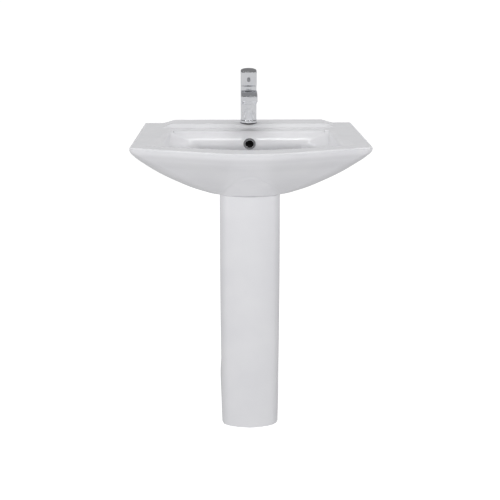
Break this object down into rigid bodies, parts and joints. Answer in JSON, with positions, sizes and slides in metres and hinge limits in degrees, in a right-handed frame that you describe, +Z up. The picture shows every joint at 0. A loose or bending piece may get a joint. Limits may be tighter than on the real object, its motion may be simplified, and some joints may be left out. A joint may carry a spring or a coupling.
{
  "type": "pedestal sink",
  "caption": "Washbasin with an upswept boat-shaped hull on a full pedestal, with a raised tap ledge, a single-lever mixer tap, an overflow, a push-down plug and a bottle trap.",
  "frame": {"origin": "on the floor, on the centre plane, midway between the wall face and the front of the rim", "axes": "+Z up, +X to the right of a person at the basin, -Y towards that person; the wall face is at y = +0.2425"},
  "size_m": [0.5992, 0.4856, 1.0042],
  "materials": {
    "glazed_china": "white glaze, gloss",
    "chrome": "polished",
    "brass": "machined",
    "stainless": "plain",
    "zinc_plated_steel": "zinc plated",
    "black_rubber": "matt",
    "white_polymer": "satin",
    "grey_polymer": "satin",
    "sintered_alumina": "lapped"
  },
  "bodies": {
    "sink": {"basin": "glazed_china", "pedestal": "glazed_china", "overflow_ring": "chrome", "waste_body": "chrome", "waste_top_seal": "white_polymer", "waste_gasket": "black_rubber", "waste_backnut": "brass", "plug_guide": "grey_polymer", "plug_spring": "stainless", "trap_inlet_nut": "chrome", "trap_inlet_washer": "black_rubber", "trap_dip_tube": "chrome", "trap_body": "chrome", "trap_top_nut": "chrome", "trap_top_seal": "black_rubber", "trap_cup_seal": "black_rubber", "trap_cup": "chrome", "trap_outlet_nut": "chrome", "trap_outlet_washer": "black_rubber", "trap_outlet_pipe": "chrome", "trap_wall_flange": "chrome", "tap_gasket": "black_rubber", "tap_body": "chrome", "aerator_housing": "chrome", "aerator_insert": "grey_polymer", "cartridge_housing": "white_polymer", "cartridge_fixed_disc": "sintered_alumina", "cartridge_nut": "brass", "tap_dome": "chrome", "tap_rubber_washer": "black_rubber", "tap_metal_washer": "zinc_plated_steel", "tap_stud": "zinc_plated_steel", "tap_stud_nut": "brass", "supply_tail_hot": "chrome", "supply_tail_cold": "chrome", "supply_tail_nuts": "brass", "supply_tail_olives": "brass"},
    "temperature_rotor": {"cartridge_rotor": "grey_polymer", "cartridge_pivot_pin": "stainless"},
    "lever": {"cartridge_stem": "brass", "handle": "chrome", "handle_grub_screw": "stainless", "handle_index": "grey_polymer"},
    "moving_disc": {"cartridge_moving_disc": "sintered_alumina"},
    "plug": {"plug_stem": "stainless", "plug_cap": "chrome", "plug_seal": "black_rubber"}
  },
  "joints": [
    {"name": "temperature_turn", "type": "hinge", "parent": "sink", "child": "temperature_rotor", "pos_m": [0, 0.1785, 0.949], "axis": [0, 0, 1], "range_deg": [-50, 50]},
    {"name": "flow_lift", "type": "hinge", "parent": "temperature_rotor", "child": "lever", "pos_m": [0, 0.1785, 0.949], "axis": [-1, 0, 0], "range_deg": [0, 25]},
    {"name": "disc_shift", "type": "slide", "parent": "temperature_rotor", "child": "moving_disc", "axis": [0, -1, 0], "range_m": [0, 0.0039]},
    {"name": "plug_press", "type": "slide", "parent": "sink", "child": "plug", "axis": [0, 0, -1], "range_m": [0, 0.008], "stiffness_N_per_m": 400, "springref_m": -0.012, "deforming": ["plug_spring"]}
  ],
  "couplings": [
    {"joint": "disc_shift", "follows": "flow_lift", "m_per_rad": 0.008717}
  ]
}
